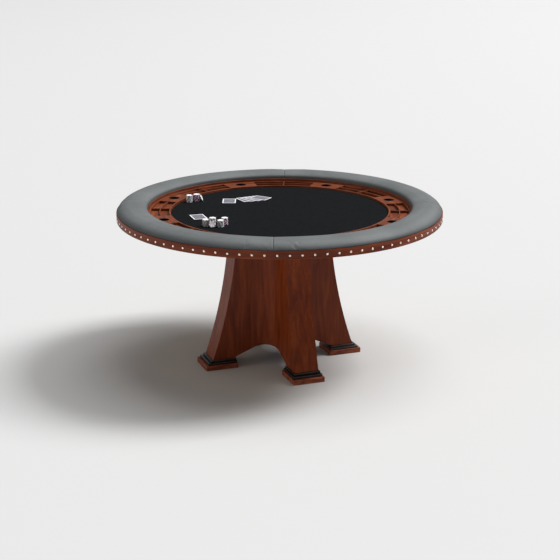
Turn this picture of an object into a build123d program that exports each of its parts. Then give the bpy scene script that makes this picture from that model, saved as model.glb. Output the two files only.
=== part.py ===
"""Round pedestal poker table with a ring of chip trays and cup liners.

Row frame: origin on the floor under the table's centre, +Z up, -Y is the front.
All sizes are millimetres and all angles are degrees.
"""

from build123d import *
from math import cos, degrees, radians, sin, sqrt
import os

# Overall
APRON_RADIUS = 748.0
DECK_RADIUS = 734.0
FELT_HEIGHT = 711.0
RAIL_HEIGHT = 762.0

# Levels of the table top, from the bottom up
PLATE_BOTTOM = 675.0
DECK_BOTTOM = 690.0
DECK_TOP = 705.0
TRACK_TOP = 720.0
APRON_TOP = 726.0
LINER_TOP = 732.0

# Playing surface, racetrack and rail
PLAY_RADIUS = 500.0
FELT_THICKNESS = 1.5
TRACK_INNER = 502.0
TRACK_OUTER = 602.0
LINER_OUTER = 606.0
LINER_ROUND = 1.5
APRON_ROUND = 2.0
PAD_OUTER = 745.0
PAD_CREST_RADIUS = 682.0
PAD_INNER_WALL = 742.0
PAD_OUTER_WALL = 734.0
PAD_SHOULDERS = ((626.0, 754.5), (720.0, 755.0))
PAD_CLEARANCE = 0.3
PAD_COUNT = 4
PAD_SEAM = 0.12

# Seats: chip trays on the seats, cup liners between them
SEATS = 8
SEAT_PITCH = 360.0 / SEATS
TRAY_POCKET_INNER = 507.0
TRAY_POCKET_OUTER = 595.5
TRAY_HALF_SPAN = 15.0
TRAY_CLEARANCE = 0.3
TRAY_WALL = 2.0
TRAY_RIB = 4.0
TRAY_FLOOR = 3.0
TRAY_EDGE = 0.7

CUP_CIRCLE = 553.0
CUP_BORE = 23.0
CUP_BODY = 24.5
CUP_HOLE = 25.0
CUP_LIP = 26.0
CUP_LIP_THICKNESS = 1.2
CUP_DEPTH = 62.0
CUP_BASE = 2.0
CUP_ROUND = 3.0

# Apron nails
NAILS = 90
NAIL_PHASE = 1.35
NAIL_HEIGHT = 707.0
NAIL_SIDES = 12
NAIL_TIERS = ((4.8, 30.0), (4.2, 65.0))  # radius at the bottom, slope of the sides
NAIL_TIER_HEIGHT = 1.0
NAIL_SHANK = 1.2
NAIL_SHANK_SIDES = 4
NAIL_LENGTH = 10.0

# Pedestal: four flared legs with coves between them
LEGS = 4
LEG_PHASE = -67.5
LEG_HALF_WIDTH = 58.0
COVE_RADIUS = 105.0
PANEL_THICKNESS = 12.0
FACE_THICKNESS = 15.0
PANEL_REACH = 400.0
FLARE_CENTRE_U = 2348.0
FLARE_CENTRE_Z = 755.0
FLARE_RADIUS = 2121.0
LEG_BOTTOM = 45.0
ARCH_TOP = 122.6
ARCH_RADIUS = 366.0
ARCH_SLOPE = 23.3
SOFFIT_THICKNESS = 12.0
POST_SIDE = 90.0
PLATE_RADIUS = 300.0
PLATE_CHAMFER = 3.0
FACE_CUT_REACH = 200.0
FACE_CUT_EXTRA = 10.0
SOFFIT_SPAN = 900.0
SOFFIT_INNER_CORNERS = 100.0

# Glue blocks inside the legs
BLOCK_HALF_WIDTH = LEG_HALF_WIDTH - PANEL_THICKNESS
FOOT_BLOCK_INNER = 256.0
FOOT_BLOCK_TOP = 125.0
TOP_BLOCK_INNER = 150.0
TOP_BLOCK_OUTER = 205.0
TOP_BLOCK_BOTTOM = 635.0

# Feet
PLINTH_INNER = 231.5
PLINTH_OUTER = 387.0
PLINTH_HALF_WIDTH = 75.0
PLINTH_BOTTOM = 0.6
PLINTH_TOP = 23.5
PLINTH_CORNER = 4.0
PLINTH_CHAMFER = 2.0
TIER_TOP = 34.2
TIER_CORNER = 2.0
TIERS = (  # bottom, top, inset at the inner end, at the outer end and at the sides
    (PLINTH_TOP, TIER_TOP, 3.0, 13.0, 6.0),
    (TIER_TOP, LEG_BOTTOM, 6.0, 26.0, 11.5),
)
LEVELLER_U = 309.0
LEVELLER_PAD = 18.0
LEVELLER_PAD_HEIGHT = 7.0
LEVELLER_ROUND = 3.0
LEVELLER_STUD = 4.0
LEVELLER_TOP = 42.0
RECESS_TOP = 9.0
RECESS_RADIUS = LEVELLER_PAD + 3.0
INSERT_RADIUS = 6.0

# Fasteners
FOOT_SCREW_U = 285.0
FOOT_SCREW_BOTTOM = 5.0
FOOT_SCREW_LENGTH = 70.0
FOOT_SCREW_BITE = 32.0
PLATE_SCREW_U = 178.0
SCREW_SIDE = 32.0
SCREW_RADIUS = 2.5
BOLT_CIRCLE = 270.0
BOLT_RADIUS = 4.0
BOLT_HEAD = 7.0
BOLT_HEAD_HEIGHT = 5.0
BOLT_END_DEPTH = 2.0
HOLE_CLEARANCE = 0.1
THREAD_CLEARANCE = 0.05
MOULDING_CLEARANCE = 0.5

# Loose chips and cards
CHIP_RADIUS = 15.0
CHIP_THICKNESS = 3.35
CHIP_PITCH = 3.4
CHIP_LEAN = 68.0
CHIP_LEAN_GAP = 1.0
CARD_WIDTH = 63.0
CARD_LENGTH = 88.0
CARD_THICKNESS = 0.3
CARD_CORNER = 3.5
LOOSE_GAP = 0.1
LOOSE_BASE = FELT_HEIGHT + LOOSE_GAP

os.makedirs("parts", exist_ok=True)


def save(piece, name):
    """Label a finished piece and write its STEP file."""
    piece.label = name
    export_step(piece, f"parts/{name}.step")


def turned(angle, height=0.0):
    """Horizontal plane at a height, its x axis turned to an angle about +Z."""
    along = (cos(radians(angle)), sin(radians(angle)), 0)
    return Plane(origin=(0, 0, height), x_dir=along, z_dir=(0, 0, 1))


def upright(angle):
    """Vertical plane through the table's axis: x runs outward, y runs up."""
    along = (cos(radians(angle)), sin(radians(angle)), 0)
    return Plane(origin=(0, 0, 0), x_dir=along, z_dir=(along[1], -along[0], 0))


def ring_sector(inner, outer, start, span):
    """Sketch of a ring sector between two radii."""
    with BuildSketch(Plane.XY) as sector:
        with BuildLine():
            low = CenterArc((0, 0), inner, start, span)
            high = CenterArc((0, 0), outer, start, span)
            Line(low @ 0, high @ 0)
            Line(low @ 1, high @ 1)
        make_face()
    return sector.sketch


def flare(height, inset=0.0):
    """Distance of the leg's flared outer face from the axis, less an inset."""
    reach = FLARE_RADIUS + inset
    return FLARE_CENTRE_U - sqrt(reach**2 - (height - FLARE_CENTRE_Z) ** 2)


def flare_band(near, far, low, high):
    """Sketch between two flared faces, given by their insets, in an upright plane."""
    middle = (low + high) / 2
    with BuildSketch(Plane.XY) as band:
        with BuildLine():
            outer = ThreePointArc(
                (flare(low, near), low), (flare(middle, near), middle), (flare(high, near), high)
            )
            inner = ThreePointArc(
                (flare(low, far), low), (flare(middle, far), middle), (flare(high, far), high)
            )
            Line(outer @ 0, inner @ 0)
            Line(outer @ 1, inner @ 1)
        make_face()
    return band.sketch


def arch_band(low_shift, high_shift):
    """Sketch between two copies of the arch line, shifted up, in an upright plane."""
    knee = ARCH_RADIUS * sin(radians(ARCH_SLOPE))
    drop = ARCH_RADIUS * (1 - cos(radians(ARCH_SLOPE)))
    half_drop = ARCH_RADIUS * (1 - cos(radians(ARCH_SLOPE / 2)))
    half_knee = ARCH_RADIUS * sin(radians(ARCH_SLOPE / 2))
    knee_height = ARCH_TOP - drop
    end = knee + (knee_height - LEG_BOTTOM) / (sin(radians(ARCH_SLOPE)) / cos(radians(ARCH_SLOPE)))
    with BuildSketch(Plane.XY) as band:
        with BuildLine():
            for shift in (low_shift, high_shift):
                ThreePointArc(
                    (0, ARCH_TOP + shift),
                    (half_knee, ARCH_TOP - half_drop + shift),
                    (knee, knee_height + shift),
                )
                Line((knee, knee_height + shift), (end, LEG_BOTTOM + shift))
            Line((0, ARCH_TOP + low_shift), (0, ARCH_TOP + high_shift))
            Line((end, LEG_BOTTOM + low_shift), (end, LEG_BOTTOM + high_shift))
        make_face()
    return band.sketch


def cove_outline(half_width, radius, reach):
    """Points of one side of a quarter's wall: leg side, cove, next leg's side."""
    centre = half_width + radius
    middle = centre - radius * cos(radians(45))
    leg_side = (reach, half_width), (centre, half_width)
    next_side = (half_width, centre), (half_width, reach)
    return *leg_side, (middle, middle), *next_side


leg_angles = [LEG_PHASE + 90.0 * leg for leg in range(LEGS)]
tray_angles = [SEAT_PITCH * seat - 90.0 for seat in range(SEATS)]
cup_angles = [angle + SEAT_PITCH / 2 for angle in tray_angles]
cup_places = [(CUP_CIRCLE * cos(radians(a)), CUP_CIRCLE * sin(radians(a))) for a in cup_angles]

# --- Feet ---------------------------------------------------------------------------------

for number, angle in enumerate(leg_angles, start=1):
    # The screw-in leveller: a domed pad on a stud, in a recess under the plinth
    with BuildPart() as leveller:
        with BuildSketch(turned(angle)):
            with Locations((LEVELLER_U, 0)):
                Circle(LEVELLER_PAD)
        extrude(amount=LEVELLER_PAD_HEIGHT)
        fillet(leveller.edges().group_by(Axis.Z)[-1], LEVELLER_ROUND)
        with BuildSketch(turned(angle, LEVELLER_PAD_HEIGHT)):
            with Locations((LEVELLER_U, 0)):
                Circle(LEVELLER_STUD)
        extrude(amount=LEVELLER_TOP - LEVELLER_PAD_HEIGHT)
    save(leveller.part, f"leveller_{number}")

    # The plinth: a chamfered block with a recess for the leveller's pad
    with BuildPart() as plinth:
        with BuildSketch(turned(angle, PLINTH_BOTTOM)):
            with Locations(((PLINTH_INNER + PLINTH_OUTER) / 2, 0)):
                RectangleRounded(PLINTH_OUTER - PLINTH_INNER, 2 * PLINTH_HALF_WIDTH, PLINTH_CORNER)
        extrude(amount=PLINTH_TOP - PLINTH_BOTTOM)
        chamfer(plinth.edges().group_by(Axis.Z)[-1], PLINTH_CHAMFER)
        with BuildSketch(turned(angle)):
            with Locations((LEVELLER_U, 0)):
                Circle(RECESS_RADIUS)
        extrude(amount=RECESS_TOP, mode=Mode.SUBTRACT)
        with BuildSketch(turned(angle)):
            with Locations((LEVELLER_U, 0)):
                Circle(INSERT_RADIUS)
            with Locations((FOOT_SCREW_U, SCREW_SIDE), (FOOT_SCREW_U, -SCREW_SIDE)):
                Circle(SCREW_RADIUS + HOLE_CLEARANCE)
        extrude(amount=PLINTH_TOP, mode=Mode.SUBTRACT)
        with BuildSketch(turned(angle)):
            with Locations((FOOT_SCREW_U, SCREW_SIDE), (FOOT_SCREW_U, -SCREW_SIDE)):
                Circle(2 * SCREW_RADIUS + HOLE_CLEARANCE)
        extrude(amount=RECESS_TOP, mode=Mode.SUBTRACT)
    save(plinth.part, f"plinth_{number}")

# The stepped mouldings between plinth and leg, one under each leg
with BuildPart() as foot_mouldings:
    for angle in leg_angles:
        for low, high, inner_inset, outer_inset, side_inset in TIERS:
            inner, outer = PLINTH_INNER + inner_inset, PLINTH_OUTER - outer_inset
            with BuildSketch(turned(angle, low)):
                with Locations(((inner + outer) / 2, 0)):
                    RectangleRounded(outer - inner, 2 * (PLINTH_HALF_WIDTH - side_inset), TIER_CORNER)
            extrude(amount=high - low, mode=Mode.ADD)
    for angle in leg_angles:
        with BuildSketch(turned(angle)):
            with Locations((LEVELLER_U, 0)):
                Circle(LEVELLER_STUD + MOULDING_CLEARANCE)
            with Locations((FOOT_SCREW_U, SCREW_SIDE), (FOOT_SCREW_U, -SCREW_SIDE)):
                Circle(SCREW_RADIUS + HOLE_CLEARANCE)
        extrude(amount=LEG_BOTTOM, mode=Mode.SUBTRACT)
save(foot_mouldings.part, "foot_mouldings")

# --- Pedestal -----------------------------------------------------------------------------

arch_cutter_line = arch_band(-ARCH_TOP, 0)
face_band = flare_band(0, FACE_THICKNESS, LEG_BOTTOM, PLATE_BOTTOM)
beyond_face = flare_band(-FACE_CUT_REACH, FACE_THICKNESS, 0, DECK_TOP)
quarter_outer = cove_outline(LEG_HALF_WIDTH, COVE_RADIUS, PANEL_REACH)
quarter_inner = cove_outline(LEG_HALF_WIDTH - PANEL_THICKNESS, COVE_RADIUS + PANEL_THICKNESS, PANEL_REACH)

for number, angle in enumerate(leg_angles, start=1):
    # The flared board on the leg's narrow outer face
    with BuildPart() as leg_face:
        with BuildSketch(upright(angle)):
            add(face_band)
        extrude(amount=LEG_HALF_WIDTH, both=True)
    save(leg_face.part, f"leg_face_{number}")

    # The coved panel from this leg's left side to the next leg's right side
    with BuildPart() as cove_panel:
        with BuildSketch(turned(angle, LEG_BOTTOM)):
            with BuildLine():
                for start, bend_start, bend, bend_end, end in (quarter_outer, quarter_inner):
                    Line(start, bend_start)
                    ThreePointArc(bend_start, bend, bend_end)
                    Line(bend_end, end)
                Line(quarter_outer[0], quarter_inner[0])
                Line(quarter_outer[4], quarter_inner[4])
            make_face()
        extrude(amount=PLATE_BOTTOM - LEG_BOTTOM)
        for side in (angle, angle + 90):
            with BuildSketch(upright(side)):
                add(beyond_face)
            extrude(amount=LEG_HALF_WIDTH + FACE_CUT_EXTRA, both=True, mode=Mode.SUBTRACT)
        with BuildSketch(Plane.XZ):
            add(arch_cutter_line)
        revolve(axis=Axis.Z, mode=Mode.SUBTRACT)
    save(cove_panel.part, f"cove_panel_{number}")

# The bent panel that closes the arch from below, between the coved panels
with BuildPart() as arch_soffit:
    with BuildSketch(Plane.XZ):
        add(arch_band(0, SOFFIT_THICKNESS))
    revolve(axis=Axis.Z)
    with BuildSketch(turned(LEG_PHASE)) as soffit_plan:
        Rectangle(SOFFIT_SPAN, 2 * BLOCK_HALF_WIDTH)
        Rectangle(2 * BLOCK_HALF_WIDTH, SOFFIT_SPAN)
        corners = soffit_plan.vertices().filter_by(
            lambda vertex: Vector(vertex).length < SOFFIT_INNER_CORNERS
        )
        fillet(corners, COVE_RADIUS + PANEL_THICKNESS)
    extrude(amount=2 * ARCH_TOP, mode=Mode.INTERSECT)
save(arch_soffit.part, "arch_soffit")

# The square post that carries the top's weight inside the shell
with BuildPart() as centre_post:
    with BuildSketch(turned(LEG_PHASE, ARCH_TOP + SOFFIT_THICKNESS)):
        Rectangle(POST_SIDE, POST_SIDE)
    extrude(amount=PLATE_BOTTOM - ARCH_TOP - SOFFIT_THICKNESS)
save(centre_post.part, "centre_post")

# Glue blocks inside the legs: at the foot for the plinth screws, at the top for the plate
block_back = (flare(LEG_BOTTOM, FACE_THICKNESS), LEG_BOTTOM)
middle_height = (LEG_BOTTOM + FOOT_BLOCK_TOP) / 2
block_middle = (flare(middle_height, FACE_THICKNESS), middle_height)
block_top = (flare(FOOT_BLOCK_TOP, FACE_THICKNESS), FOOT_BLOCK_TOP)
with BuildPart() as corner_blocks:
    for angle in leg_angles:
        with BuildSketch(upright(angle)):
            with BuildLine():
                Polyline(block_top, (FOOT_BLOCK_INNER, FOOT_BLOCK_TOP), (FOOT_BLOCK_INNER, LEG_BOTTOM))
                Line((FOOT_BLOCK_INNER, LEG_BOTTOM), block_back)
                ThreePointArc(block_back, block_middle, block_top)
            make_face()
        extrude(amount=BLOCK_HALF_WIDTH, both=True)
        with BuildSketch(turned(angle, LEG_BOTTOM)):
            with Locations((FOOT_SCREW_U, SCREW_SIDE), (FOOT_SCREW_U, -SCREW_SIDE)):
                Circle(SCREW_RADIUS + HOLE_CLEARANCE)
        extrude(amount=FOOT_SCREW_BITE, mode=Mode.SUBTRACT)
        with BuildSketch(turned(angle, TOP_BLOCK_BOTTOM)):
            with Locations(((TOP_BLOCK_INNER + TOP_BLOCK_OUTER) / 2, 0)):
                Rectangle(TOP_BLOCK_OUTER - TOP_BLOCK_INNER, 2 * BLOCK_HALF_WIDTH)
            with Locations((PLATE_SCREW_U, SCREW_SIDE), (PLATE_SCREW_U, -SCREW_SIDE)):
                Circle(SCREW_RADIUS + HOLE_CLEARANCE, mode=Mode.SUBTRACT)
        extrude(amount=PLATE_BOTTOM - TOP_BLOCK_BOTTOM)
save(corner_blocks.part, "corner_blocks")

# The round plate on top of the pedestal that the deck is bolted to
with BuildPart() as mounting_plate:
    with BuildSketch(Plane.XY.offset(PLATE_BOTTOM)):
        Circle(PLATE_RADIUS)
        with PolarLocations(BOLT_CIRCLE, SEATS):
            Circle(BOLT_RADIUS + HOLE_CLEARANCE, mode=Mode.SUBTRACT)
    extrude(amount=DECK_BOTTOM - PLATE_BOTTOM)
    for angle in leg_angles:
        with BuildSketch(turned(angle, PLATE_BOTTOM)):
            with Locations((PLATE_SCREW_U, SCREW_SIDE), (PLATE_SCREW_U, -SCREW_SIDE)):
                Circle(SCREW_RADIUS + HOLE_CLEARANCE)
        extrude(amount=DECK_BOTTOM - PLATE_BOTTOM, mode=Mode.SUBTRACT)
    chamfer(mounting_plate.faces().sort_by(Axis.Z)[0].outer_wire().edges(), PLATE_CHAMFER)
save(mounting_plate.part, "mounting_plate")

# Fasteners: bolts up into the deck, screws down into the top blocks, and at each foot the
# leveller's threaded insert and the screws that hold plinth and moulding to the leg
with BuildPart() as fasteners:
    with BuildSketch(Plane.XY.offset(PLATE_BOTTOM)):
        with PolarLocations(BOLT_CIRCLE, SEATS):
            Circle(BOLT_RADIUS)
    extrude(amount=DECK_TOP - PLATE_BOTTOM - BOLT_END_DEPTH)
    with BuildSketch(Plane.XY.offset(PLATE_BOTTOM - BOLT_HEAD_HEIGHT)):
        with PolarLocations(BOLT_CIRCLE, SEATS):
            RegularPolygon(BOLT_HEAD, 6)
    extrude(amount=BOLT_HEAD_HEIGHT)
    for angle in leg_angles:
        with BuildSketch(turned(angle, TOP_BLOCK_BOTTOM + FOOT_SCREW_BOTTOM)):
            with Locations((PLATE_SCREW_U, SCREW_SIDE), (PLATE_SCREW_U, -SCREW_SIDE)):
                Circle(SCREW_RADIUS)
        extrude(amount=DECK_BOTTOM - TOP_BLOCK_BOTTOM - FOOT_SCREW_BOTTOM)
        with BuildSketch(turned(angle, RECESS_TOP)):
            with Locations((LEVELLER_U, 0)):
                Circle(INSERT_RADIUS)
                Circle(LEVELLER_STUD + THREAD_CLEARANCE, mode=Mode.SUBTRACT)
        extrude(amount=PLINTH_TOP - RECESS_TOP)
        with BuildSketch(turned(angle, FOOT_SCREW_BOTTOM)):
            with Locations((FOOT_SCREW_U, SCREW_SIDE), (FOOT_SCREW_U, -SCREW_SIDE)):
                Circle(SCREW_RADIUS)
        extrude(amount=FOOT_SCREW_LENGTH)
        with BuildSketch(turned(angle, FOOT_SCREW_BOTTOM)):
            with Locations((FOOT_SCREW_U, SCREW_SIDE), (FOOT_SCREW_U, -SCREW_SIDE)):
                Circle(2 * SCREW_RADIUS)
        extrude(amount=RECESS_TOP - FOOT_SCREW_BOTTOM)
save(fasteners.part, "fasteners")

# --- Table top ----------------------------------------------------------------------------

# The plywood deck that everything on top is built on
with BuildPart() as deck_board:
    with BuildSketch(Plane.XY.offset(DECK_BOTTOM)):
        Circle(DECK_RADIUS)
        with Locations(*cup_places):
            Circle(CUP_HOLE, mode=Mode.SUBTRACT)
        with PolarLocations(BOLT_CIRCLE, SEATS):
            Circle(BOLT_RADIUS + HOLE_CLEARANCE, mode=Mode.SUBTRACT)
    extrude(amount=DECK_TOP - DECK_BOTTOM)
save(deck_board.part, "deck_board")

# The bent apron round the deck's edge
with BuildPart() as apron_ring:
    with BuildSketch(Plane.XY.offset(DECK_BOTTOM)):
        Circle(APRON_RADIUS)
        Circle(DECK_RADIUS, mode=Mode.SUBTRACT)
    extrude(amount=APRON_TOP - DECK_BOTTOM)
    fillet(apron_ring.edges().group_by(SortBy.LENGTH)[-1].group_by(Axis.Z)[0], APRON_ROUND)
save(apron_ring.part, "apron_ring")

# One faceted upholstery nail, then the whole row of them
with BuildPart() as nail:
    with BuildSketch(Plane.XY):
        RegularPolygon(NAIL_SHANK, NAIL_SHANK_SIDES)
    extrude(amount=-NAIL_LENGTH)
    for tier, (radius, slope) in enumerate(NAIL_TIERS):
        with BuildSketch(Plane.XY.offset(tier * NAIL_TIER_HEIGHT)):
            RegularPolygon(radius, NAIL_SIDES)
        extrude(amount=NAIL_TIER_HEIGHT, taper=slope)
nail_places = []
for index in range(NAILS):
    bearing = radians(NAIL_PHASE + index * 360.0 / NAILS - 90.0)
    outward = (cos(bearing), sin(bearing), 0)
    seat = (APRON_RADIUS * outward[0], APRON_RADIUS * outward[1], NAIL_HEIGHT)
    nail_places.append(Plane(origin=seat, x_dir=(0, 0, 1), z_dir=outward).location)
apron_nails = Compound(children=[nail.part.moved(place) for place in nail_places])
save(apron_nails, "apron_nails")

# The plywood ring under the padded rail
with BuildPart() as rail_base:
    with BuildSketch(Plane.XY.offset(DECK_TOP)):
        Circle(DECK_RADIUS)
        Circle(LINER_OUTER, mode=Mode.SUBTRACT)
    extrude(amount=APRON_TOP - DECK_TOP)
save(rail_base.part, "rail_base")

# The stepped wooden band between racetrack and rail
with BuildPart() as rail_liner:
    with BuildSketch(Plane.XZ):
        with BuildLine():
            Polyline(
                (TRAY_POCKET_OUTER, DECK_TOP),
                (LINER_OUTER, DECK_TOP),
                (LINER_OUTER, LINER_TOP),
                (TRACK_OUTER, LINER_TOP),
                (TRACK_OUTER, TRACK_TOP),
                (TRAY_POCKET_OUTER, TRACK_TOP),
                close=True,
            )
        make_face()
    revolve(axis=Axis.Z)
    fillet(rail_liner.edges().group_by(Axis.Z)[-1].sort_by(SortBy.LENGTH)[0], LINER_ROUND)
save(rail_liner.part, "rail_liner")

# The lip between racetrack and playing surface
with BuildPart() as track_lip:
    with BuildSketch(Plane.XY.offset(DECK_TOP)):
        Circle(TRAY_POCKET_INNER)
        Circle(TRACK_INNER, mode=Mode.SUBTRACT)
    extrude(amount=TRACK_TOP - DECK_TOP)
    fillet(track_lip.edges().group_by(Axis.Z)[-1].sort_by(SortBy.LENGTH)[0], TRAY_EDGE)
save(track_lip.part, "track_lip")

# The racetrack's blocks between the trays, with counterbored holes for the cup liners
block_span = SEAT_PITCH - 2 * TRAY_HALF_SPAN
block_outlines = [
    ring_sector(TRAY_POCKET_INNER, TRAY_POCKET_OUTER, angle - block_span / 2, block_span)
    for angle in cup_angles
]
with BuildPart() as cup_blocks:
    with BuildSketch(Plane.XY.offset(DECK_TOP)):
        for outline in block_outlines:
            add(outline)
        with Locations(*cup_places):
            Circle(CUP_HOLE, mode=Mode.SUBTRACT)
    extrude(amount=TRACK_TOP - DECK_TOP)
    with BuildSketch(Plane.XY.offset(TRACK_TOP - CUP_LIP_THICKNESS)):
        with Locations(*cup_places):
            Circle(CUP_LIP + TRAY_CLEARANCE)
    extrude(amount=CUP_LIP_THICKNESS, mode=Mode.SUBTRACT)
save(cup_blocks.part, "cup_blocks")

# The chip trays: two rows of two compartments each, one tray per seat
tray_inner = TRAY_POCKET_INNER + TRAY_CLEARANCE
tray_outer = TRAY_POCKET_OUTER - TRAY_CLEARANCE
row_width = (tray_outer - tray_inner - 2 * TRAY_WALL - TRAY_RIB) / 2
rows = (
    (tray_inner + TRAY_WALL, tray_inner + TRAY_WALL + row_width),
    (tray_outer - TRAY_WALL - row_width, tray_outer - TRAY_WALL),
)
tray_gap = degrees(TRAY_CLEARANCE / TRAY_POCKET_INNER)
end_wall = degrees(TRAY_WALL / CUP_CIRCLE)
half_divider = degrees(TRAY_RIB / 2 / CUP_CIRCLE)
bay_span = TRAY_HALF_SPAN - tray_gap - end_wall - half_divider
for number, angle in enumerate(tray_angles, start=1):
    body_outline = ring_sector(
        tray_inner, tray_outer, angle - TRAY_HALF_SPAN + tray_gap, 2 * (TRAY_HALF_SPAN - tray_gap)
    )
    with BuildPart() as chip_tray:
        with BuildSketch(Plane.XY.offset(DECK_TOP)):
            add(body_outline)
        extrude(amount=TRACK_TOP - DECK_TOP)
        for inner, outer in rows:
            for start in (angle + half_divider, angle - half_divider - bay_span):
                bay = ring_sector(inner, outer, start, bay_span)
                with BuildSketch(Plane.XY.offset(DECK_TOP + TRAY_FLOOR)):
                    add(bay)
                extrude(amount=TRACK_TOP, mode=Mode.SUBTRACT)
        rim = chip_tray.faces().sort_by(Axis.Z)[-1]
        fillet([edge for wire in rim.inner_wires() for edge in wire.edges()], TRAY_EDGE)
    save(chip_tray.part, f"chip_tray_{number}")

# The padded rail, in four lengths that meet at seams
pad_inner = LINER_OUTER + PAD_CLEARANCE
for number in range(1, PAD_COUNT + 1):
    seam = -90.0 * number + PAD_SEAM / 2
    with BuildPart() as rail_pad:
        with BuildSketch(upright(seam)):
            with BuildLine():
                inner_edge = Line((pad_inner, APRON_TOP), (pad_inner, PAD_INNER_WALL))
                outer_edge = Line((PAD_OUTER, APRON_TOP), (PAD_OUTER, PAD_OUTER_WALL))
                Spline(
                    inner_edge @ 1,
                    PAD_SHOULDERS[0],
                    (PAD_CREST_RADIUS, RAIL_HEIGHT),
                    PAD_SHOULDERS[1],
                    outer_edge @ 1,
                    tangents=((0, 1), (0, -1)),
                )
                Line(inner_edge @ 0, outer_edge @ 0)
            make_face()
        revolve(axis=Axis.Z, revolution_arc=90.0 - PAD_SEAM)
    save(rail_pad.part, f"rail_pad_{number}")

# The playing surface: a thin board with cloth bonded to it
with BuildPart() as play_board:
    with BuildSketch(Plane.XY.offset(DECK_TOP)):
        Circle(PLAY_RADIUS)
    extrude(amount=FELT_HEIGHT - FELT_THICKNESS - DECK_TOP)
save(play_board.part, "play_board")

with BuildPart() as felt_cloth:
    with BuildSketch(Plane.XY.offset(FELT_HEIGHT - FELT_THICKNESS)):
        Circle(PLAY_RADIUS)
    extrude(amount=FELT_THICKNESS)
save(felt_cloth.part, "felt_cloth")

# The drop-in cup liners
for number, (x, y) in enumerate(cup_places, start=1):
    with BuildPart() as cup_liner:
        with BuildSketch(Plane.XY.offset(TRACK_TOP - CUP_LIP_THICKNESS)):
            with Locations((x, y)):
                Circle(CUP_LIP)
        extrude(amount=CUP_LIP_THICKNESS)
        with BuildSketch(Plane.XY.offset(TRACK_TOP - CUP_DEPTH)):
            with Locations((x, y)):
                Circle(CUP_BODY)
        extrude(amount=CUP_DEPTH - CUP_LIP_THICKNESS)
        fillet(cup_liner.edges().group_by(Axis.Z)[0], CUP_ROUND)
        with BuildSketch(Plane.XY.offset(TRACK_TOP - CUP_DEPTH + CUP_BASE)):
            with Locations((x, y)):
                Circle(CUP_BORE)
        extrude(amount=CUP_DEPTH, mode=Mode.SUBTRACT)
    save(cup_liner.part, f"cup_liner_{number}")

# --- Loose pieces on the cloth ------------------------------------------------------------

# Chip stacks: place, number of chips, and the direction of a chip leaning on the stack
stacks = {
    "chips_far_left": ((-434, 168), 10, None),
    "chips_far_right": ((-402, 189), 10, 0.0),
    "chips_near_left": ((-316, -286), 9, None),
    "chips_near_tall": ((-285, -294), 12, -90.0),
    "chips_near_right": ((-250, -296), 9, None),
    "chips_near_back": ((-235, -251), 9, None),
}
for name, (place, count, lean_bearing) in stacks.items():
    with BuildPart() as chip_stack:
        for layer in range(count):
            with BuildSketch(Plane.XY.offset(LOOSE_BASE + layer * CHIP_PITCH)):
                with Locations(place):
                    Circle(CHIP_RADIUS)
            extrude(amount=CHIP_THICKNESS)
        if lean_bearing is not None:
            reach = CHIP_RADIUS + CHIP_LEAN_GAP + CHIP_RADIUS * cos(radians(CHIP_LEAN)) + CHIP_THICKNESS
            away = (cos(radians(lean_bearing)), sin(radians(lean_bearing)), 0)
            rise = CHIP_RADIUS * sin(radians(CHIP_LEAN)) + CHIP_THICKNESS
            centre = (place[0] + reach * away[0], place[1] + reach * away[1], LOOSE_BASE + rise)
            tilt = sin(radians(CHIP_LEAN))
            normal = (away[0] * tilt, away[1] * tilt, cos(radians(CHIP_LEAN)))
            with BuildSketch(Plane(origin=centre, x_dir=(-away[1], away[0], 0), z_dir=normal)):
                Circle(CHIP_RADIUS)
            extrude(amount=-CHIP_THICKNESS)
    save(chip_stack.part, name)

# Cards: each card's centre and the bearing of its long side
hands = {
    "card_left": (((-364, -120), -69.0),),
    "card_middle": (((-247, 196), 92.1),),
    "card_fan": (
        ((-170, 232), 122.0),
        ((-147, 241), 131.7),
        ((-124, 250), 141.3),
        ((-101, 260), 151.0),
    ),
}
for name, cards in hands.items():
    with BuildPart() as hand:
        for layer, (place, bearing) in enumerate(cards):
            with BuildSketch(Plane.XY.offset(LOOSE_BASE + layer * (CARD_THICKNESS + LOOSE_GAP))):
                with Locations(Location(place, bearing)):
                    RectangleRounded(CARD_LENGTH, CARD_WIDTH, CARD_CORNER)
            extrude(amount=CARD_THICKNESS)
    save(hand.part, name)
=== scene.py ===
"""Looks of a round poker table: padded rail, chip trays, playing cloth and a flared pedestal.

Everything is in metres in the table's own frame: origin on the floor, +Z up, -Y the front.
"""

import logging
import math
from dataclasses import dataclass, field
from enum import Enum

import bmesh
import bpy
from mathutils import Matrix, Vector, noise


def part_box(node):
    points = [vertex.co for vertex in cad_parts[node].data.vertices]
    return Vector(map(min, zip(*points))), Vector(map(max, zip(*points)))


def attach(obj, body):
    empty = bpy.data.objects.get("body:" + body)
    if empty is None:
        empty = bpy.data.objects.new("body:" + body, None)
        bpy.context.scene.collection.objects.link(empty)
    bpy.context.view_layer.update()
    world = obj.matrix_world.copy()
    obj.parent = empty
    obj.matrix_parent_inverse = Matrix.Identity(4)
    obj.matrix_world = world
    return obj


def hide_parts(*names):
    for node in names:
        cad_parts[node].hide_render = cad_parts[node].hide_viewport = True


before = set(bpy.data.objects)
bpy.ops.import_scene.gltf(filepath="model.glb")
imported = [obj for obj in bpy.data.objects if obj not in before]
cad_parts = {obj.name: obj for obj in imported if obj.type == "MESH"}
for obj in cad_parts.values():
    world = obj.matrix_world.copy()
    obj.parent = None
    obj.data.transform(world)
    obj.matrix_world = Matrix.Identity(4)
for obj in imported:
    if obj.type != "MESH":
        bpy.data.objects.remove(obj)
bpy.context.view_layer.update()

LOG = logging.getLogger("poker_table")
MM = 0.001
# Radius in metres at which grain that runs round the table has its true length.
UNROLL_RADIUS = 0.7
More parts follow.
